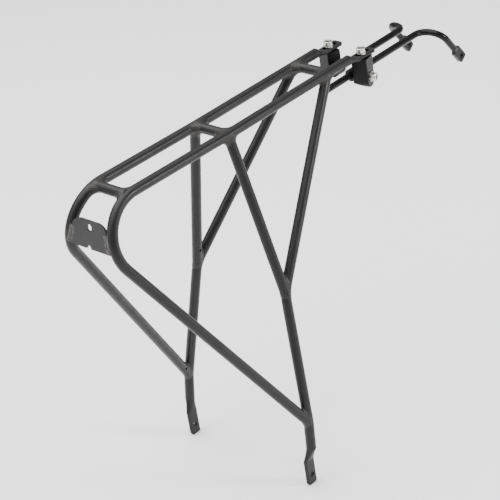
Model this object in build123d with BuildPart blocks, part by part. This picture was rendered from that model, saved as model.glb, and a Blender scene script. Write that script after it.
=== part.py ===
"""Bicycle rear rack: a welded frame of bent steel tube with two adjustable front stays.

Frame: millimetres. The origin lies midway between the two dropout eyelets, on the plane
of symmetry. +X points forward, towards the stays, +Y to the bicycle's left and +Z up.
The right half is modelled, at negative Y, and the left half is its mirror image.
"""
import os
from math import cos, radians, sin, sqrt, tan

from build123d import *

# ---- tubing -------------------------------------------------------------------------
TUBE_R = 5.0                 # frame tube, outside radius
TUBE_WALL = 1.0
STAY_R = 3.5                 # solid stay rod
VENT_R = 1.4                 # vent hole that lets gas out while a tube is welded
VENT_FROM_END = 17.0

# ---- rails and hoops ----------------------------------------------------------------
DECK_Z = 348.0               # rail axis above the eyelets
RAIL_Y = -20.5
REAR_CROSS_X = -109.0
MIDDLE_CROSS_X = 20.0
FRONT_CROSS_X = 162.0
RAIL_KINK = 1.0              # degrees that the rear half of the rails rises
HOOP_CORNER_X = -170.0       # where the rail and the lower stay would meet
HOOP_R = 39.0

# ---- legs and struts ----------------------------------------------------------------
KNEE = (25.0, -57.0, 188.5)  # bend where the front strut turns into the leg
ANKLE = (7.0, -80.0, 58.5)   # bend where the lower stay meets the leg
KNEE_R = 34.0
ANKLE_R = 60.0
FOOT_TUBE_Y = -83.2          # tube axis carried down to eyelet height
FOOT_Y = -79.0               # middle of the flattened foot
FOOT_THICK = 4.2
FOOT_WIDTH = 13.0
FOOT_FLAT_Z = 17.0           # the flat begins here
FOOT_CRUSH_Z = 30.0          # the round tube ends here
FOOT_BOTTOM_Z = -10.5
FOOT_CORNER_R = 3.6
EYELET_R = 2.75              # clears an M5 bolt

# ---- slotted tabs at the front of the rails -----------------------------------------
TAB_CRUSH_X = 195.0          # the round tube ends here
TAB_FLAT_X = 203.5           # the flat begins here
TAB_END_X = 229.5
TAB_WIDTH = 13.0
TAB_THICK = 3.6
TAB_TOP_Z = 346.9
TAB_CORNER_R = 3.0
SLOT_MIN_X = 207.0
SLOT_MAX_X = 225.5
SLOT_WIDTH = 5.8
FLAT_EDGE = 0.1              # straight part left in the thickness of a flattened end

# ---- light plate --------------------------------------------------------------------
PLATE_THICK = 2.5
PLATE_CENTRE = (-140.61, 0.0, 322.25)
PLATE_TILT = 15.0            # degrees that its rear face looks up
PLATE_TOP = 12.6             # half height
PLATE_FLAT = 10.5            # half length of the straight top edge
PLATE_ROUND = (18.0, 9.9)    # a point on the rounded shoulder
PLATE_SHOULDER = (22.5, 2.5)
PLATE_FOOT = 26.5            # half length of the bottom edge before it is fitted
PLATE_HOLE_R = 3.25
PLATE_HOLE_UP = 6.3
PLATE_NOTCH_R = 3.0

# ---- M5 fasteners -------------------------------------------------------------------
BOLT_R = 2.5
HEAD_R = 4.25
HEAD_HIGH = 5.0
HEAD_CHAMFER = 0.4
HEX_ACROSS = 4.0
HEX_DEEP = 2.5
WASHER_R = 5.0
WASHER_THICK = 1.0
RUNNING_GAP = 0.05           # radial clearance of a bolt or rod in its hole
SEAT_GAP = 0.1               # between the seated faces of different moving bodies
PAST = 2.0                   # how far a cutter runs past the metal

# ---- stay clamps --------------------------------------------------------------------
CLAMP_X = 214.5              # top bolt axis
CLAMP_YAW = 14.5             # degrees the block is turned inwards
CLAMP_LONG = 15.5
CLAMP_WIDE = 16.2
CLAMP_EDGE_R = 0.8
CLAMP_RISE = 5.5             # how much higher the block's underside is on the stay's side
CLAMP_BOTTOM_Z = 312.2
CLAMP_ROUND_Z = CLAMP_BOTTOM_Z + CLAMP_LONG / 2
CLAMP_TOP_Z = TAB_TOP_Z - TAB_THICK - SEAT_GAP
PINCH_Z = 322.75
JAW_R = 6.2                  # eye that the stay passes through
JAW_LONG = 13.0
JAW_X = 212.0
TOP_BOLT_LONG = 16.0
TOP_HOLE_DEEP = 11.9
PINCH_SHORT = 1.6            # left between the pinch bolt's end and the stay

# ---- front stays --------------------------------------------------------------------
STAY_Y = -10.9
STAY_Z = 325.2
STAY_REAR_X = 160.0
STAY_ELBOW_X = 322.5         # the rod turns outwards here
STAY_DROP = (326.7, -33.7, 323.8)    # and down and forward here
STAY_TIP = (357.9, -33.7, 284.1)
STAY_BEND_R = 13.0
PADDLE_CRUSH = 3.5
PADDLE_LONG = 17.5
PADDLE_WIDE = 10.8
PADDLE_THICK = 4.4
PADDLE_CORNER_R = 2.5
PADDLE_HOLE_R = 2.75
PADDLE_HOLE_IN = 6.0         # from the paddle's end to its hole's centre


# ---- paths --------------------------------------------------------------------------
def bent_path(points, radii):
    """A wire through points, each inner corner rounded by its radius."""
    corners = [Vector(*point) for point in points]
    with BuildLine() as path:
        start = corners[0]
        for before, corner, after, radius in zip(corners, corners[1:], corners[2:], radii):
            back = (before - corner).normalized()
            ahead = (after - corner).normalized()
            half = radians(back.get_angle(ahead)) / 2
            enter = corner + back * (radius / tan(half))
            leave = corner + ahead * (radius / tan(half))
            crown = corner + (back + ahead).normalized() * (radius / sin(half) - radius)
            Line(start, enter)
            ThreePointArc(enter, crown, leave)
            start = leave
        Line(start, corners[-1])
    return path.wires()[0]


def rail_path():
    rise = (MIDDLE_CROSS_X - HOOP_CORNER_X) * tan(radians(RAIL_KINK))
    corners = [
        (TAB_CRUSH_X, RAIL_Y, DECK_Z),
        (MIDDLE_CROSS_X, RAIL_Y, DECK_Z),
        (HOOP_CORNER_X, RAIL_Y, DECK_Z + rise),
        ANKLE,
    ]
    return bent_path(corners, [HOOP_R, HOOP_R])


def leg_path():
    ankle = Vector(*ANKLE)
    sole = Vector(0, FOOT_TUBE_Y, 0)
    end = sole + (ankle - sole) * (FOOT_CRUSH_Z / ankle.Z)
    corners = [(FRONT_CROSS_X, RAIL_Y, DECK_Z), KNEE, ANKLE, end]
    return bent_path(corners, [KNEE_R, ANKLE_R])


def strut_path():
    return bent_path([(MIDDLE_CROSS_X, RAIL_Y, DECK_Z), KNEE], [])


def stay_neck():
    """Where the rod ends and its flattened paddle begins, looking along the rod."""
    tip = Vector(*STAY_TIP)
    along = (tip - Vector(*STAY_DROP)).normalized()
    origin = tip - along * (PADDLE_CRUSH + PADDLE_LONG)
    return Plane(origin, x_dir=along.cross(Vector(0, 1, 0)), z_dir=along)


def stay_path():
    """The rod's centreline: straight, turned outwards, then down and forward."""
    start = (STAY_REAR_X, STAY_Y, STAY_Z)
    elbow = (STAY_ELBOW_X, STAY_Y, STAY_Z)
    corners = [start, elbow, STAY_DROP, tuple(stay_neck().origin)]
    return bent_path(corners, [STAY_BEND_R, STAY_BEND_R])


# ---- shared shapes ------------------------------------------------------------------
def tube(path, radius=TUBE_R, bore=0.0):
    """A round bar along a path, or a tube where bore is the radius of its hole."""
    with BuildPart() as bar:
        with BuildSketch(Plane(origin=path @ 0, z_dir=path % 0)) as section:
            Circle(radius)
            if bore:
                Circle(bore, mode=Mode.SUBTRACT)
        sweep(section.sketch, path=path)
    return bar.part


def vent(path):
    """A cutter for the vent hole near a tube's end, on the side that faces the wheel."""
    with BuildPart() as drill:
        centre = path @ 1 - (path % 1) * VENT_FROM_END
        with BuildSketch(Plane(origin=centre, z_dir=(0, 1, 0))):
            Circle(VENT_R)
        extrude(amount=TUBE_R + PAST)
    return drill.part


def largest(part):
    """The piece that stays when a fitted end has been cut off."""
    return part.solids().sort_by(SortBy.VOLUME)[-1]


def left_of(part):
    """The mirror image on the bicycle's left side."""
    return mirror(part, about=Plane.XZ)


# ---- frame tubes --------------------------------------------------------------------
def tab_cut():
    """A cutter for the tab's slot and its two rounded front corners."""
    with BuildPart() as cutter:
        with BuildSketch(Plane.XY.offset(TAB_TOP_Z - TAB_THICK / 2)):
            with Locations((TAB_END_X, RAIL_Y)):
                Rectangle(2 * TAB_CORNER_R, TAB_WIDTH + PAST)
            with Locations((TAB_END_X - TAB_WIDTH / 2, RAIL_Y)):
                RectangleRounded(TAB_WIDTH, TAB_WIDTH, TAB_CORNER_R, mode=Mode.SUBTRACT)
            with Locations(((SLOT_MIN_X + SLOT_MAX_X) / 2, RAIL_Y)):
                SlotOverall(SLOT_MAX_X - SLOT_MIN_X, SLOT_WIDTH)
        extrude(amount=TAB_THICK, both=True)
    return cutter.part


def rail_hoop():
    """One bent tube: slotted tab, rail, rear hoop and lower stay."""
    path = rail_path()
    tab_z = TAB_TOP_Z - TAB_THICK / 2
    crush = Plane((TAB_CRUSH_X, RAIL_Y, DECK_Z), x_dir=(0, 1, 0), z_dir=(1, 0, 0))
    flat = Plane((TAB_FLAT_X, RAIL_Y, tab_z), x_dir=(0, 1, 0), z_dir=(1, 0, 0))
    with BuildPart() as hoop:
        add(tube(path, bore=TUBE_R - TUBE_WALL))
        add(tube(leg_path()), mode=Mode.SUBTRACT)
        add(vent(path), mode=Mode.SUBTRACT)
        with BuildSketch(crush):
            Circle(TUBE_R)
        with BuildSketch(flat):
            RectangleRounded(TAB_WIDTH, TAB_THICK, TAB_THICK / 2 - FLAT_EDGE)
        loft()
        with BuildSketch(flat):
            RectangleRounded(TAB_WIDTH, TAB_THICK, TAB_THICK / 2 - FLAT_EDGE)
        extrude(amount=TAB_END_X - TAB_FLAT_X)
        add(tab_cut(), mode=Mode.SUBTRACT)
    return hoop.part


def sole_cut():
    """A cutter that rounds the two bottom corners of the foot."""
    with BuildPart() as cutter:
        with BuildSketch(Plane.XZ.offset(-FOOT_Y)):
            with Locations((0, FOOT_BOTTOM_Z)):
                Rectangle(FOOT_WIDTH + PAST, 2 * FOOT_CORNER_R)
            with Locations((0, FOOT_BOTTOM_Z + FOOT_WIDTH / 2)):
                RectangleRounded(FOOT_WIDTH, FOOT_WIDTH, FOOT_CORNER_R, mode=Mode.SUBTRACT)
        extrude(amount=FOOT_THICK, both=True)
    return cutter.part


def leg():
    """Front strut and leg in one bent tube, down to where the foot is flattened."""
    with BuildPart() as fitted:
        add(tube(leg_path(), bore=TUBE_R - TUBE_WALL))
        add(tube(rail_path()), mode=Mode.SUBTRACT)
    return largest(fitted.part)


def foot():
    """The flattened and drilled end of the leg."""
    path = leg_path()
    flat = Plane((0, FOOT_Y, FOOT_FLAT_Z), x_dir=(1, 0, 0), z_dir=(0, 0, -1))
    with BuildPart() as end:
        with BuildSketch(Plane(path @ 1, x_dir=(1, 0, 0), z_dir=path % 1)):
            Circle(TUBE_R)
        with BuildSketch(flat):
            RectangleRounded(FOOT_WIDTH, FOOT_THICK, FOOT_THICK / 2 - FLAT_EDGE)
        loft()
        with BuildSketch(flat):
            RectangleRounded(FOOT_WIDTH, FOOT_THICK, FOOT_THICK / 2 - FLAT_EDGE)
        extrude(amount=FOOT_FLAT_Z - FOOT_BOTTOM_Z)
        with BuildSketch(Plane.XZ.offset(-FOOT_Y)):
            Circle(EYELET_R)
        extrude(amount=FOOT_THICK, both=True, mode=Mode.SUBTRACT)
        add(sole_cut(), mode=Mode.SUBTRACT)
    return end.part


def middle_strut():
    """The straight strut from the middle cross tube down to the knee."""
    path = strut_path()
    with BuildPart() as strut:
        add(tube(path, bore=TUBE_R - TUBE_WALL))
        add(tube(rail_path()), mode=Mode.SUBTRACT)
        add(tube(leg_path()), mode=Mode.SUBTRACT)
        add(vent(path), mode=Mode.SUBTRACT)
    return largest(strut.part)


def cross_tube(x, z):
    """A straight tube between the rails, its ends fitted to them and to the struts."""
    neighbours = [tube(path) for path in (rail_path(), leg_path(), strut_path())]
    with BuildPart() as bar:
        with BuildSketch(Plane((x, 0, z), z_dir=(0, 1, 0))):
            Circle(TUBE_R)
            Circle(TUBE_R - TUBE_WALL, mode=Mode.SUBTRACT)
        extrude(amount=-RAIL_Y, both=True)
        for neighbour in neighbours:
            add(neighbour, mode=Mode.SUBTRACT)
            add(left_of(neighbour), mode=Mode.SUBTRACT)
    return largest(bar.part)


def light_plate():
    """The plate between the hoops, with a hole for a light or reflector."""
    tilt = radians(PLATE_TILT)
    face = Plane(PLATE_CENTRE, x_dir=(0, -1, 0), z_dir=(-cos(tilt), 0, sin(tilt)))
    top_corner = (PLATE_FLAT, PLATE_TOP)
    hoop = tube(rail_path())
    with BuildPart() as plate:
        with BuildSketch(face):
            with BuildLine():
                Line((0, PLATE_TOP), top_corner)
                ThreePointArc(top_corner, PLATE_ROUND, PLATE_SHOULDER)
                Polyline(PLATE_SHOULDER, (PLATE_FOOT, -PLATE_TOP), (0, -PLATE_TOP))
                mirror(about=Plane.YZ)
            make_face()
            with Locations((0, PLATE_HOLE_UP)):
                Circle(PLATE_HOLE_R, mode=Mode.SUBTRACT)
            with Locations((0, -PLATE_TOP)):
                Circle(PLATE_NOTCH_R, mode=Mode.SUBTRACT)
        extrude(amount=PLATE_THICK / 2, both=True)
        add(hoop, mode=Mode.SUBTRACT)
        add(left_of(hoop), mode=Mode.SUBTRACT)
    return largest(plate.part)


# ---- fasteners ----------------------------------------------------------------------
def cap_bolt(seat, length):
    """An M5 socket cap bolt whose head stands on the seat plane, its shank behind it."""
    with BuildPart() as bolt:
        with BuildSketch(seat):
            Circle(HEAD_R)
        extrude(amount=HEAD_HIGH)
        crown = bolt.faces().sort_by(Axis(seat.origin, seat.z_dir))[-1]
        chamfer(crown.edges(), HEAD_CHAMFER)
        with BuildSketch(seat):
            Circle(BOLT_R)
        extrude(amount=-length)
        with BuildSketch(seat.offset(HEAD_HIGH)):
            RegularPolygon(HEX_ACROSS / sqrt(3), 6)
        extrude(amount=-HEX_DEEP, mode=Mode.SUBTRACT)
    return bolt.part


def washer(seat):
    """A flat washer that stands on the seat plane."""
    with BuildPart() as ring:
        with BuildSketch(seat):
            Circle(WASHER_R)
            Circle(BOLT_R + RUNNING_GAP, mode=Mode.SUBTRACT)
        extrude(amount=WASHER_THICK)
    return ring.part


def top_seat():
    """Where the washer of the top bolt stands, just above the tab."""
    return Plane((CLAMP_X, RAIL_Y, TAB_TOP_Z + SEAT_GAP))


def pinch_seat():
    """The clamp block's outer face at the pinch bolt."""
    yaw = radians(CLAMP_YAW)
    outwards = Vector(sin(yaw), -cos(yaw), 0)
    centre = Vector(CLAMP_X, RAIL_Y, PINCH_Z) + outwards * (CLAMP_WIDE / 2)
    return Plane(origin=centre, x_dir=(0, 0, 1), z_dir=outwards)


def pinch_length():
    """Shank length of the pinch bolt, which stops just short of the stay rod."""
    to_rod_axis = CLAMP_WIDE / 2 + (STAY_Y - RAIL_Y) / cos(radians(CLAMP_YAW))
    rod_depth = sqrt(STAY_R ** 2 - (STAY_Z - PINCH_Z) ** 2)
    return WASHER_THICK + to_rod_axis - rod_depth - PINCH_SHORT


# ---- stay clamps --------------------------------------------------------------------
def clamp_block():
    """Block under the tab, with an eye on its inner side that holds the stay."""
    seat = pinch_seat()
    profile = Plane((CLAMP_X, RAIL_Y, CLAMP_ROUND_Z), x_dir=(0, 0, 1), z_dir=seat.z_dir)
    jaw = Plane((JAW_X, STAY_Y, STAY_Z), z_dir=(1, 0, 0))
    above_round = CLAMP_TOP_Z - CLAMP_ROUND_Z
    across = profile.z_dir
    low = Vector(CLAMP_X, RAIL_Y, CLAMP_BOTTOM_Z)
    underside = Plane(low, x_dir=across, z_dir=across.cross(Vector(0, 0, 1)))
    inner_low = (-CLAMP_WIDE, -PAST)
    inner_high = (-CLAMP_WIDE, 1.5 * CLAMP_RISE)
    outer_low = (CLAMP_WIDE / 2, 0)
    with BuildPart() as block:
        with BuildSketch(profile):
            Circle(CLAMP_LONG / 2)
            with Locations((above_round / 2, 0)):
                Rectangle(above_round, CLAMP_LONG)
        extrude(amount=CLAMP_WIDE / 2, both=True)
        fillet(block.edges().filter_by(Axis.Z), CLAMP_EDGE_R)
        with BuildSketch(underside):
            with BuildLine():
                Polyline(inner_low, inner_high, outer_low, inner_low)
            make_face()
        extrude(amount=CLAMP_LONG, both=True, mode=Mode.SUBTRACT)
        with BuildSketch(jaw):
            Circle(JAW_R)
        extrude(amount=JAW_LONG / 2, both=True)
        with BuildSketch(jaw):
            Circle(STAY_R + RUNNING_GAP)
        extrude(amount=CLAMP_LONG, both=True, mode=Mode.SUBTRACT)
        with BuildSketch(Plane((CLAMP_X, RAIL_Y, CLAMP_TOP_Z))):
            Circle(BOLT_R + RUNNING_GAP)
        extrude(amount=-TOP_HOLE_DEEP, mode=Mode.SUBTRACT)
        with BuildSketch(seat):
            Circle(BOLT_R + RUNNING_GAP)
        extrude(amount=-pinch_length(), mode=Mode.SUBTRACT)
    return block.part


# ---- front stays --------------------------------------------------------------------
def paddle():
    """The flattened and drilled end of the stay, which stands fore and aft."""
    neck = stay_neck()
    flat = neck.offset(PADDLE_CRUSH)
    face = Plane(flat.origin, x_dir=flat.z_dir, z_dir=(0, -1, 0))
    with BuildPart() as end:
        with BuildSketch(neck):
            Circle(STAY_R)
        with BuildSketch(flat):
            RectangleRounded(PADDLE_WIDE, PADDLE_THICK, PADDLE_THICK / 2 - FLAT_EDGE)
        loft()
        with BuildSketch(face):
            with Locations((PADDLE_LONG / 4, 0)):
                Rectangle(PADDLE_LONG / 2, PADDLE_WIDE)
            with Locations((PADDLE_LONG / 2, 0)):
                RectangleRounded(PADDLE_LONG, PADDLE_WIDE, PADDLE_CORNER_R)
            with Locations((PADDLE_LONG - PADDLE_HOLE_IN, 0)):
                Circle(PADDLE_HOLE_R, mode=Mode.SUBTRACT)
        extrude(amount=PADDLE_THICK / 2, both=True)
    return end.part


# ---- assembly -----------------------------------------------------------------------
def build():
    """Every piece by node name."""
    rear_rise = (MIDDLE_CROSS_X - REAR_CROSS_X) * tan(radians(RAIL_KINK))
    pieces = {
        "rear_cross_tube": cross_tube(REAR_CROSS_X, DECK_Z + rear_rise),
        "middle_cross_tube": cross_tube(MIDDLE_CROSS_X, DECK_Z),
        "front_cross_tube": cross_tube(FRONT_CROSS_X, DECK_Z),
        "light_plate": light_plate(),
    }
    pairs = {
        "rail_hoop": rail_hoop(),
        "leg": leg(),
        "foot": foot(),
        "middle_strut": middle_strut(),
        "clamp_block": clamp_block(),
        "top_washer": washer(top_seat()),
        "top_bolt": cap_bolt(top_seat().offset(WASHER_THICK), TOP_BOLT_LONG),
        "pinch_washer": washer(pinch_seat()),
        "pinch_bolt": cap_bolt(pinch_seat().offset(WASHER_THICK), pinch_length()),
        "stay": tube(stay_path(), radius=STAY_R),
        "paddle": paddle(),
    }
    for name, piece in pairs.items():
        pieces["right_" + name] = piece
        pieces["left_" + name] = left_of(piece)
    return pieces


os.makedirs("parts", exist_ok=True)
for node, piece in build().items():
    piece.label = node
    export_step(piece, f"parts/{node}.step")
    print(node, "solids", len(piece.solids()), "volume", round(piece.volume, 1), piece.is_valid)
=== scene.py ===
"""The looks of the bicycle rear rack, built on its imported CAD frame."""
from math import cos, pi, radians, sin, tan

import bpy
import numpy as np
from mathutils import Matrix, Vector


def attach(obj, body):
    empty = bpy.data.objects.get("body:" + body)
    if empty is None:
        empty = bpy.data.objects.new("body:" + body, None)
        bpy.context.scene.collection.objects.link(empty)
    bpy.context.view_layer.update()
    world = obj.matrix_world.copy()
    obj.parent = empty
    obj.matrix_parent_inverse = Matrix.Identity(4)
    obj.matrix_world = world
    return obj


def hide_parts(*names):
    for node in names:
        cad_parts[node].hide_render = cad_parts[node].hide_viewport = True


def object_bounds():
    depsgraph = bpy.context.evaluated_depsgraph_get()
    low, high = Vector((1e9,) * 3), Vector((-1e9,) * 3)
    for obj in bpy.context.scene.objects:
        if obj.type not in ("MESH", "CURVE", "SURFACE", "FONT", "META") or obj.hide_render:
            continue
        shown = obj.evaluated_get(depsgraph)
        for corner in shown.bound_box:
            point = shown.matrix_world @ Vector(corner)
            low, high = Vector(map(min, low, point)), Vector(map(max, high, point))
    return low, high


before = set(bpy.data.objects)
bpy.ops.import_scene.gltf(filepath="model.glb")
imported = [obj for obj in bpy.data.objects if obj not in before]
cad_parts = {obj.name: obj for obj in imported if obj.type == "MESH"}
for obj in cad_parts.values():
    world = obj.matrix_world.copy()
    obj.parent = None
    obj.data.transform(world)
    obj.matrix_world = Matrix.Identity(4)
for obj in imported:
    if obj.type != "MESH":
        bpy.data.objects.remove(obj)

CAD_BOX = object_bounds()
MM = 0.001
SIDES = {"left": 1, "right": -1}

# ---- places of the design, in millimetres, as in the CAD source --------------------
TUBE_R = 5.0
DECK_Z = 348.0
RAIL_Y = 20.5
REAR_CROSS_X = -109.0
MIDDLE_CROSS_X = 20.0
FRONT_CROSS_X = 162.0
RAIL_KINK = 1.0
TAB_CRUSH_X = 195.0
HOOP_CORNER_X = -170.0
HOOP_R = 39.0
KNEE = (25.0, 57.0, 188.5)
ANKLE = (7.0, 80.0, 58.5)
FOOT_TUBE = (0.0, 83.2, 0.0)
PLATE_CENTRE = (-140.61, 0.0, 322.25)
PLATE_TILT = 15.0
PLATE_TOP = 12.6
PLATE_THICK = 2.5
KNEE_R = 34.0
ANKLE_R = 60.0
CLAMP_X = 214.5
CLAMP_YAW = 14.5
CLAMP_WIDE = 16.2
TAB_TOP_Z = 346.9
SEAT_GAP = 0.1
WASHER_THICK = 1.0
PINCH_Z = 322.75
TOP_BOLT_LONG = 16.0
PINCH_BOLT_LONG = 14.9

# ---- welds, in millimetres ---------------------------------------------------------
CROSS_WELD = 7.5             # how far each fillet reaches from its joint
TOP_WELD = 6.0
KNEE_WELD = 5.0
ANKLE_WELD = 5.0
PLATE_WELD = 4.8
CROSS_WELD_FROM = 2.0        # its rays start this far from the plane of symmetry
RUN_UP = 40                  # centreline points between a joint and where its rays start
BACK_OFF = 1.4               # run-ups between a lower joint and where its rays start
TOP_OF_LEG = 80              # centreline points that the cross welds look at
TOP_OF_STRUT = 60
WELD_SEARCH = 95.0           # how far from its start a weld looks for the tubes it meets
WELD_RAYS = 144              # round a tube
WELD_STEPS = 10              # across a fillet
WELD_CROWN = 0.25            # how far the bead's middle stands out
RIPPLE_PITCH = 1.5
RIPPLE_HIGH = 0.10
RIPPLE_LAG = 0.35            # share of a ripple by which its middle trails its edges
WOBBLE = 0.10                # share by which a fillet's reach varies
WOBBLE_WAVES = 3
SUNK = 0.04                  # how far a fillet's edges dip into the tubes
SEAM_TOP = 5.0               # how far up the light plate's face a seam runs
SEAM_IN = 0.5                # from the plate's lower edge to the seam's end
SEAM_FROM = 12.0             # from the plane of symmetry to where its rays start
SEAM_RAYS = 60
SEAM_HIGH = 0.22             # the seams' ripple

# ---- sphere tracing from a weld's rays to the tubes --------------------------------
TRACE_STEPS = 160
TRACE_STRIDE = (0.02, 4.0)
TRACE_TOUCH = 0.01
TRACE_CLOSER = 1e-4
RESEAT_STEPS = 4
TINY = 1e-6

# ---- camera ------------------------------------------------------------------------
CAMERA_TARGET = (17.5, -27.3, 230.5)
CAMERA_DISTANCE = 1500.0
CAMERA_AZIMUTH = 43.88       # degrees the view turns from +Y towards +X
CAMERA_ELEVATION = 29.71     # degrees the view looks down
CAMERA_ROLL = -9.28
CAMERA_LENS = 116.0
CAMERA_CLIP = 50.0           # metres

# ---- light and floor, in metres and watts ------------------------------------------
WORLD_STRENGTH = 0.45
LIGHT_AIM = (0.05, 0.0, 0.2)
LIGHTS = {                   # place, size, power
    "overhead": ((-0.2, 0.5, 2.6), 3.6, 210),
    "left_box": ((-1.4, 0.5, 0.9), 0.9, 8),
    "right_strip": ((0.85, -1.5, 0.75), 0.35, 22),
}
FLOOR_HALF = 6.0
FLOOR_BELOW = 0.0005         # gap under the feet
FLOOR_TONE = (0.97, 0.97, 0.97, 1.0)
FLOOR_ROUGHNESS = 0.9


def camera():
    """The photograph's viewpoint."""
    azimuth, elevation = radians(CAMERA_AZIMUTH), radians(CAMERA_ELEVATION)
    look = Vector((sin(azimuth) * cos(elevation), cos(azimuth) * cos(elevation), -sin(elevation)))
    data = bpy.data.cameras.new("camera")
    data.lens = CAMERA_LENS
    data.clip_end = CAMERA_CLIP
    view = bpy.data.objects.new("camera", data)
    upright = look.to_track_quat("-Z", "Y").to_matrix().to_4x4()
    place = Vector(CAMERA_TARGET) * MM - look * CAMERA_DISTANCE * MM
    roll = Matrix.Rotation(radians(CAMERA_ROLL), 4, "Z")
    view.matrix_world = Matrix.Translation(place) @ upright @ roll
    bpy.context.scene.collection.objects.link(view)
    bpy.context.scene.camera = view


# ---- light and floor ---------------------------------------------------------------
def area_light(name, place, aim, size, power):
    """A square soft box that points from place to aim."""
    data = bpy.data.lights.new(name, "AREA")
    data.size = size
    data.energy = power
    lamp = bpy.data.objects.new(name, data)
    lamp.location = place
    lamp.rotation_euler = (Vector(aim) - Vector(place)).to_track_quat("-Z", "Y").to_euler()
    bpy.context.scene.collection.objects.link(lamp)


def studio():
    """Soft light from above, a pale surround and a pale floor under the feet."""
    world = bpy.data.worlds.new("studio")
    world.use_nodes = True
    background = world.node_tree.nodes["Background"]
    background.inputs["Color"].default_value = (1.0, 1.0, 1.0, 1.0)
    background.inputs["Strength"].default_value = WORLD_STRENGTH
    bpy.context.scene.world = world
    for name, (place, size, power) in LIGHTS.items():
        area_light(name, place, LIGHT_AIM, size, power)
    mesh = bpy.data.meshes.new("floor")
    low = CAD_BOX[0][2] - FLOOR_BELOW
    signs = ((-1, -1), (1, -1), (1, 1), (-1, 1))
    corners = [(x * FLOOR_HALF, y * FLOOR_HALF, low) for x, y in signs]
    mesh.from_pydata(corners, [], [(0, 1, 2, 3)])
    floor = bpy.data.objects.new("floor", mesh)
    bpy.context.scene.collection.objects.link(floor)
    paper = bpy.data.materials.new("floor_paper")
    paper.use_nodes = True
    surface = paper.node_tree.nodes["Principled BSDF"]
    surface.inputs["Base Color"].default_value = FLOOR_TONE
    surface.inputs["Roughness"].default_value = FLOOR_ROUGHNESS
    mesh.materials.append(paper)


# ---- materials ---------------------------------------------------------------------
class Shader:
    """A principled material with helpers for the nodes that drive it."""

    def __init__(self, name, **sockets):
        self.material = bpy.data.materials.new(name)
        self.material.use_nodes = True
        self.tree = self.material.node_tree
        self.surface = self.tree.nodes["Principled BSDF"]
        for socket, value in sockets.items():
            self.surface.inputs[socket.replace("_", " ")].default_value = value
        self.place = self.tree.nodes.new("ShaderNodeTexCoord").outputs["Object"]

    def link(self, source, target):
        self.tree.links.new(source, target)

    def noise(self, scale, detail=2.0, stretch=None):
        """Noise with scale lumps per metre, on coordinates multiplied by stretch."""
        node = self.tree.nodes.new("ShaderNodeTexNoise")
        node.inputs["Scale"].default_value = scale
        node.inputs["Detail"].default_value = detail
        place = self.place
        if stretch:
            mapping = self.tree.nodes.new("ShaderNodeMapping")
            mapping.inputs["Scale"].default_value = stretch
            self.link(place, mapping.inputs["Vector"])
            place = mapping.outputs["Vector"]
        self.link(place, node.inputs["Vector"])
        return node.outputs["Fac"]

    def ramp(self, source, low, high, start=0.3, stop=0.7):
        """Turns noise into a value or a colour between low and high."""
        node = self.tree.nodes.new("ShaderNodeValToRGB")
        ends = node.color_ramp.elements
        for end, position, value in ((ends[0], start, low), (ends[1], stop, high)):
            end.position = position
            end.color = value if hasattr(value, "__len__") else (value, value, value, 1.0)
        self.link(source, node.inputs["Fac"])
        return node.outputs["Color"]

    def bump(self, *layers):
        """Stacks (height, distance in millimetres, strength) layers into the normal."""
        normal = None
        for height, distance, strength in layers:
            node = self.tree.nodes.new("ShaderNodeBump")
            node.inputs["Distance"].default_value = distance * MM
            node.inputs["Strength"].default_value = strength
            self.link(height, node.inputs["Height"])
            if normal is not None:
                self.link(normal, node.inputs["Normal"])
            normal = node.outputs["Normal"]
        self.link(normal, self.surface.inputs["Normal"])


def powder_coat(name, dark, light, grain=1.0, ior=1.33, gloss=(0.34, 0.46), lumps=45.0):
    """Satin powder coat: fine orange peel, mottling from dark to light and uneven gloss.

    grain scales the orange peel's depth, and lumps is how many mottles there are in a metre. On the
    seams the light mottles are painted highlights.
    """
    shader = Shader(name, IOR=ior)
    mottle = shader.noise(lumps, detail=4.0)
    shader.link(shader.ramp(mottle, dark, light), shader.surface.inputs["Base Color"])
    sheen = shader.noise(160.0, detail=3.0)
    shader.link(shader.ramp(sheen, *gloss), shader.surface.inputs["Roughness"])
    peel = shader.noise(900.0, detail=2.0)
    speck = shader.noise(3200.0, detail=1.0)
    shader.bump((peel, 0.05 * grain, 0.5), (speck, 0.02 * grain, 0.4))
    return shader.material


def stainless(name):
    """Bright stainless steel with fine machining streaks."""
    shader = Shader(name, Metallic=1.0)
    tint = shader.noise(300.0, detail=3.0)
    colour = shader.ramp(tint, (0.50, 0.49, 0.47, 1.0), (0.66, 0.65, 0.63, 1.0))
    shader.link(colour, shader.surface.inputs["Base Color"])
    streak = shader.noise(900.0, detail=3.0, stretch=(1.0, 1.0, 6.0))
    shader.link(shader.ramp(streak, 0.16, 0.32), shader.surface.inputs["Roughness"])
    shader.bump((streak, 0.01, 0.35))
    return shader.material


FRAME_COAT = powder_coat(
    "frame_coat", (0.0080, 0.0075, 0.0075, 1.0), (0.0120, 0.0112, 0.0112, 1.0),
)
# The frame's coat made about three times lighter for the light plate: painted light on its flat
# face.
PLATE_PAINTED_LIGHT_COAT = powder_coat(
    "plate_painted_light_coat", (0.0250, 0.0240, 0.0242, 1.0), (0.0320, 0.0308, 0.0310, 1.0),
)
BLOCK_COAT = powder_coat(
    "block_coat", (0.0040, 0.0037, 0.0038, 1.0), (0.0070, 0.0063, 0.0065, 1.0),
    grain=0.6, ior=1.24, gloss=(0.28, 0.38),
)
STAY_COAT = powder_coat(
    "stay_coat", (0.0035, 0.0034, 0.0036, 1.0), (0.0060, 0.0058, 0.0060, 1.0),
    grain=0.5, ior=1.25, gloss=(0.24, 0.33),
)
WELD_COAT = powder_coat(
    "weld_coat", (0.0140, 0.0130, 0.0125, 1.0), (0.0230, 0.0210, 0.0200, 1.0),
    grain=1.6,
)
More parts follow.
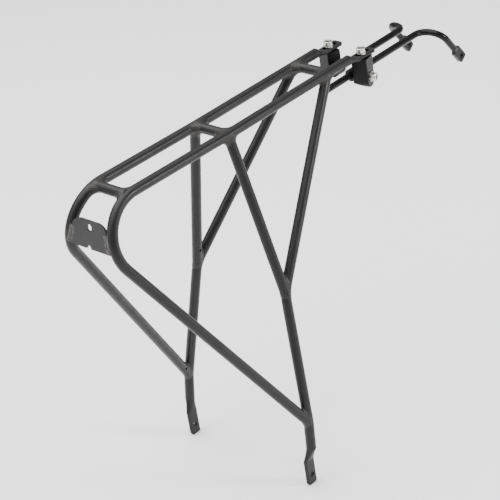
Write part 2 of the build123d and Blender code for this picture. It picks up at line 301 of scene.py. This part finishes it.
# Dark seam coat with small patches up to about ten times lighter: painted highlights on the seams'
# ripples.
SEAM_COAT_AND_PAINTED_HIGHLIGHTS = powder_coat(
    "seam_coat_and_painted_highlights", (0.0100, 0.0090, 0.0090, 1.0), (0.0950, 0.0890, 0.0850, 1.0),
    grain=1.6, lumps=260.0,
)
STEEL = stainless("stainless_steel")


# ---- tube centrelines, in millimetres, as in the CAD source ------------------------
def straight(start, end, step):
    """Points from start up to, but not at, end."""
    count = max(1, int(np.linalg.norm(end - start) / step))
    return [start + (end - start) * k / count for k in range(count)]


def rounded(corners, radii, step=1.0):
    """Points along a bent tube's centreline, about step millimetres apart."""
    corners = [np.array(corner, float) for corner in corners]
    points = []
    start = corners[0]
    for before, corner, after, radius in zip(corners, corners[1:], corners[2:], radii):
        back = (before - corner) / np.linalg.norm(before - corner)
        ahead = (after - corner) / np.linalg.norm(after - corner)
        half = np.arccos(np.clip(back @ ahead, -1, 1)) / 2
        enter = corner + back * radius / tan(half)
        centre = corner + (back + ahead) / np.linalg.norm(back + ahead) * radius / sin(half)
        inward = (centre - enter) / radius
        points += straight(start, enter, step)
        turn = pi - 2 * half
        for angle in np.arange(0, turn, step / radius):
            across = inward * radius * (1 - cos(angle))
            points.append(enter - back * radius * sin(angle) + across)
        start = corner + ahead * radius / tan(half)
    return np.array(points + straight(start, corners[-1], step) + [corners[-1]])


def side_paths(side):
    """Rail with hoop, leg and middle strut of one side; side is 1 on the left."""
    flip = np.array((1.0, side, 1.0))
    knee, ankle, foot = (np.array(point) for point in (KNEE, ANKLE, FOOT_TUBE))
    rise = (MIDDLE_CROSS_X - HOOP_CORNER_X) * tan(radians(RAIL_KINK))
    rail = [
        (TAB_CRUSH_X, RAIL_Y, DECK_Z),
        (MIDDLE_CROSS_X, RAIL_Y, DECK_Z),
        (HOOP_CORNER_X, RAIL_Y, DECK_Z + rise),
        ankle,
    ]
    leg = [(FRONT_CROSS_X, RAIL_Y, DECK_Z), knee, ankle, foot]
    strut = [(MIDDLE_CROSS_X, RAIL_Y, DECK_Z), knee]
    return {
        "rail": rounded(rail, [HOOP_R, HOOP_R]) * flip,
        "leg": rounded(leg, [KNEE_R, ANKLE_R]) * flip,
        "strut": rounded(strut, []) * flip,
    }


def tube_distance(points, lines):
    """Distance from each point to the surface of the nearest tube, and its normal."""
    nearest = np.full(len(points), np.inf)
    normal = np.zeros((len(points), 3))
    for line in lines:
        start, span = line[:-1], line[1:] - line[:-1]
        offset = points[:, None, :] - start[None]
        share = np.clip((offset * span).sum(2) / (span ** 2).sum(1), 0, 1)
        away = offset - share[..., None] * span
        reach = np.sqrt((away ** 2).sum(2))
        best = reach.argmin(1)
        rows = np.arange(len(points))
        closer = reach[rows, best] - TUBE_R < nearest
        unit = away[rows, best] / np.maximum(reach[rows, best], TINY)[:, None]
        nearest[closer] = (reach[rows, best] - TUBE_R)[closer]
        normal[closer] = unit[closer]
    return nearest, normal


# ---- welds -------------------------------------------------------------------------
def weld_strip(origins, along, outwards, lines, reach, closed, seed, high=RIPPLE_HIGH):
    """Vertices and faces of a rippled fillet where rays from origins meet the tubes.

    It reaches back along the rays and outwards over the tubes. Where closed is true, it
    goes all round. high is the height of its ripple.
    """
    along = np.broadcast_to(along, origins.shape)
    travel = np.zeros(len(origins))
    closest = np.full(len(origins), np.inf)
    touch = np.zeros(len(origins))
    for _ in range(TRACE_STEPS):
        gap, _ = tube_distance(origins + along * travel[:, None], lines)
        closer = gap < closest - TRACE_CLOSER
        closest[closer] = gap[closer]
        touch[closer] = travel[closer]
        travel += np.clip(gap, *TRACE_STRIDE) * (gap > TRACE_TOUCH)
    meet = origins + along * touch[:, None]
    rng = np.random.default_rng(seed)
    round_it = np.linspace(0, 2 * pi, len(meet), endpoint=not closed)
    wobble = 1 + WOBBLE * np.sin(round_it * WOBBLE_WAVES + rng.random() * 6)
    near = meet - along * (reach * wobble)[:, None] - outwards * SUNK
    far = meet + outwards * (reach * wobble)[:, None]
    for _ in range(RESEAT_STEPS):
        gap, normal = tube_distance(far, lines)
        far = far - normal * (gap + SUNK)[:, None]
    gap, normal = tube_distance(far, lines)
    steps = np.linalg.norm(np.roll(meet, -1, 0) - meet, axis=1)
    if not closed:
        steps[-1] = 0
    run = np.concatenate([[0], np.cumsum(steps)[:-1]])
    if closed:
        whole_ripples = round(steps.sum() / RIPPLE_PITCH) * RIPPLE_PITCH
        run = run * (whole_ripples / steps.sum())
    rows = []
    lift = outwards + normal
    lift /= np.maximum(np.linalg.norm(lift, axis=1), TINY)[:, None]
    for k in range(WELD_STEPS + 1):
        share = k / WELD_STEPS
        row = near * (1 - share) ** 2 + meet * 2 * share * (1 - share) + far * share ** 2
        bow = sin(pi * share)
        phase = 2 * pi * (run / RIPPLE_PITCH + RIPPLE_LAG * bow)
        row = row + lift * (bow * (WELD_CROWN + high * np.sin(phase)))[:, None]
        rows.append(row)
    grid = np.array(rows)
    count = len(origins)
    faces = []
    for k in range(WELD_STEPS):
        for j in range(count if closed else count - 1):
            a, b = k * count + j, k * count + (j + 1) % count
            faces.append((a, b, b + count, a + count))
    return grid.reshape(-1, 3), faces


def ring(centre, along):
    """Rays on the surface of a round tube that runs along a direction."""
    along = along / np.linalg.norm(along)
    off_axis = (0.31, 0.52, 0.79)
    first = np.cross(along, off_axis)
    first /= np.linalg.norm(first)
    second = np.cross(along, first)
    angles = np.linspace(0, 2 * pi, WELD_RAYS, endpoint=False)[:, None]
    outwards = np.cos(angles) * first + np.sin(angles) * second
    return centre + outwards * TUBE_R, along, outwards


def mesh_piece(name, vertices, faces, material, sharp=None):
    """A mesh object from millimetre vertices, smooth-shaded, with one material."""
    mesh = bpy.data.meshes.new(name)
    mesh.from_pydata([tuple(v * MM for v in vertex) for vertex in vertices], [], faces)
    mesh.validate()
    mesh.shade_smooth()
    if sharp:
        mesh.set_sharp_from_angle(angle=radians(sharp))
    mesh.materials.append(material)
    piece = bpy.data.objects.new(name, mesh)
    bpy.context.scene.collection.objects.link(piece)
    return piece


def near_part(line, place):
    """The stretch of a centreline within reach of a weld."""
    return line[np.linalg.norm(line - place, axis=1) < WELD_SEARCH]


def add_weld(name, vertices, faces, material):
    """Puts a weld on the frame."""
    piece = mesh_piece(name, vertices, faces, material)
    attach(piece, "frame")


def weld(name, centre, along, lines, reach, seed):
    """A weld all round the end of a tube that comes from centre along a direction."""
    origins, along, outwards = ring(np.array(centre, float), np.array(along, float))
    lines = [near_part(line, origins[0]) for line in lines]
    lines = [line for line in lines if len(line) > 2]
    vertices, faces = weld_strip(origins, along, outwards, lines, reach, True, seed)
    add_weld(name, vertices, faces, WELD_COAT)


def frame_welds():
    """Fillets at both ends of every cross tube, strut and leg."""
    rear_rise = (MIDDLE_CROSS_X - REAR_CROSS_X) * tan(radians(RAIL_KINK))
    crossings = {
        "rear": (REAR_CROSS_X, DECK_Z + rear_rise),
        "middle": (MIDDLE_CROSS_X, DECK_Z),
        "front": (FRONT_CROSS_X, DECK_Z),
    }
    for side_name, side in SIDES.items():
        paths = side_paths(side)
        rail, leg, strut = paths["rail"], paths["leg"], paths["strut"]
        for number, (place, (x, z)) in enumerate(crossings.items()):
            centre = (x, side * CROSS_WELD_FROM, z)
            lines = [rail, leg[:TOP_OF_LEG], strut[:TOP_OF_STRUT]]
            name = f"{side_name}_{place}_cross_weld"
            weld(name, centre, (0, side, 0), lines, CROSS_WELD, seed=number)
        for name, tube, seed in (("leg_top", leg, 11), ("strut_top", strut, 12)):
            up = tube[0] - tube[RUN_UP]
            weld(f"{side_name}_{name}_weld", tube[0] - up, up, [rail], TOP_WELD, seed)
        lower = (("knee", strut, KNEE_WELD, 13), ("ankle", rail, ANKLE_WELD, 14))
        for name, tube, reach, seed in lower:
            down = tube[-1] - tube[-RUN_UP]
            weld(f"{side_name}_{name}_weld", tube[-1] - down * BACK_OFF, down, [leg], reach, seed)


def plate_welds():
    """Seams on both faces of the light plate where it meets the hoops."""
    tilt = radians(PLATE_TILT)
    normal = np.array((-cos(tilt), 0.0, sin(tilt)))
    up = np.array((sin(tilt), 0.0, cos(tilt)))
    for side_name, side in SIDES.items():
        rail = side_paths(side)["rail"]
        for face_name, face in (("rear", 1), ("front", -1)):
            levels = np.linspace(-PLATE_TOP + SEAM_IN, SEAM_TOP, SEAM_RAYS)[:, None]
            origins = np.array(PLATE_CENTRE) + up * levels + normal * face * PLATE_THICK / 2
            origins = origins + np.array((0, side * SEAM_FROM, 0))
            outwards = np.broadcast_to(normal * face, origins.shape)
            along = np.array((0.0, side, 0.0))
            vertices, faces = weld_strip(
                origins, along, outwards, [rail], PLATE_WELD, closed=False, seed=21, high=SEAM_HIGH,
            )
            # the seams' material carries painted highlights on the ripples
            add_weld(f"{side_name}_plate_{face_name}_seam", vertices, faces, SEAM_COAT_AND_PAINTED_HIGHLIGHTS)


# ---- fasteners, in millimetres -----------------------------------------------------
SPOKES = 144
BOLT_TIP_R = 1.9
BOLT_TIP = 0.6               # length of the chamfer at the shank's end
THREAD_START_R = 2.45
THREAD_ROOT = 2.12
THREAD_CREST = 2.48
THREAD_PITCH = 0.8
BARE_SHANK = 1.5             # left without thread, with the chamfer, along the shank
KNURLS = 36
KNURL_ROOT = 4.16
KNURL_DEEP = 0.14
HEX_ACROSS = 4.0
SHARP_EDGE = 32              # degrees


def lathe(rings):
    """Vertices and faces of a turned solid from (height, radius function) rings."""
    vertices, faces = [], []
    angles = np.arange(SPOKES) * 2 * pi / SPOKES
    for height, radius in rings:
        for angle in angles:
            reach = radius(angle) if callable(radius) else radius
            vertices.append((reach * cos(angle), reach * sin(angle), height))
    for level in range(len(rings) - 1):
        for k in range(SPOKES):
            a, b = level * SPOKES + k, level * SPOKES + (k + 1) % SPOKES
            faces.append((a, b, b + SPOKES, a + SPOKES))
    first = tuple(reversed(range(SPOKES)))
    last = tuple(range((len(rings) - 1) * SPOKES, len(rings) * SPOKES))
    return np.array(vertices), faces + [first, last]


def knurl(angle):
    """Radius of the knurled band of a bolt head, with rounded teeth."""
    return KNURL_ROOT + KNURL_DEEP * abs(cos(angle * KNURLS / 2))


def hexagon(angle):
    """Radius of the hex socket."""
    return HEX_ACROSS / 2 / cos((angle % (pi / 3)) - pi / 6)


# Each ring of a bolt's head is a height above the seat and a radius, from under the head
# over its knurled side and its top, then down the socket to its floor.
HEAD_RINGS = [
    (-0.3, 2.48), (0.0, 2.5), (0.0, 3.9), (0.25, 4.2), (0.5, 4.25), (0.7, 4.25), (0.85, knurl),
    (3.9, knurl), (4.05, 4.25), (4.45, 4.25), (4.75, 4.1), (4.95, 3.85), (5.0, 3.65),
    (5.0, 2.62), (4.85, 2.46), (4.75, hexagon), (2.5, hexagon), (2.2, 0.6),
]


def bolt_rings(length):
    """Rings of an M5 cap bolt from the end of its shank to the floor of its socket."""
    rings = [(-length, BOLT_TIP_R), (-length + BOLT_TIP, THREAD_START_R)]
    for turn in range(int((length - BARE_SHANK) / THREAD_PITCH)):
        low = -length + BOLT_TIP + turn * THREAD_PITCH
        rings += [(low + 0.2, THREAD_ROOT), (low + 0.4, THREAD_ROOT)]
        rings += [(low + 0.6, THREAD_CREST), (low + 0.75, THREAD_CREST)]
    return rings + HEAD_RINGS


def place_turned(name, rings, node, body, seat, axis):
    """Puts a turned piece with its seat plane at a point, facing along an axis."""
    vertices, faces = lathe(rings)
    turn = Vector(axis).to_track_quat("Z", "Y").to_matrix()
    vertices = np.array([turn @ Vector(vertex) + Vector(seat) for vertex in vertices])
    piece = mesh_piece(name, vertices, faces, STEEL, sharp=SHARP_EDGE)
    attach(piece, body)
    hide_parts(node)


def bolts():
    """Detailed bolts in place of the CAD ones."""
    yaw = radians(CLAMP_YAW)
    for side_name, side in SIDES.items():
        seat = Vector((CLAMP_X, side * RAIL_Y, TAB_TOP_Z + SEAT_GAP + WASHER_THICK))
        place_turned(
            f"{side_name}_top_cap_screw", bolt_rings(TOP_BOLT_LONG),
            f"{side_name}_top_bolt", f"{side_name}_slot_bolt", seat, (0, 0, 1),
        )
        axis = Vector((sin(yaw), side * cos(yaw), 0))
        seat = Vector((CLAMP_X, side * RAIL_Y, PINCH_Z)) + axis * (CLAMP_WIDE / 2 + WASHER_THICK)
        place_turned(
            f"{side_name}_pinch_cap_screw", bolt_rings(PINCH_BOLT_LONG),
            f"{side_name}_pinch_bolt", f"{side_name}_clamp", seat, axis,
        )


# ---- finish of the CAD nodes -------------------------------------------------------
def dress(node, material):
    """Gives a CAD node its finished material."""
    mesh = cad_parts[node].data
    mesh.materials.clear()
    mesh.materials.append(material)


def dress_nodes():
    """Gives every CAD node the coat of its kind."""
    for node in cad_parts:
        if node.endswith(("bolt", "washer")):
            dress(node, STEEL)
        elif node.endswith("clamp_block"):
            dress(node, BLOCK_COAT)
        elif node.endswith(("_stay", "_paddle")):
            dress(node, STAY_COAT)
        elif node == "light_plate":
            # the light plate gets the frame's coat lightened as painted light
            dress(node, PLATE_PAINTED_LIGHT_COAT)
        else:
            dress(node, FRAME_COAT)


camera()
studio()
dress_nodes()
frame_welds()
plate_welds()
bolts()
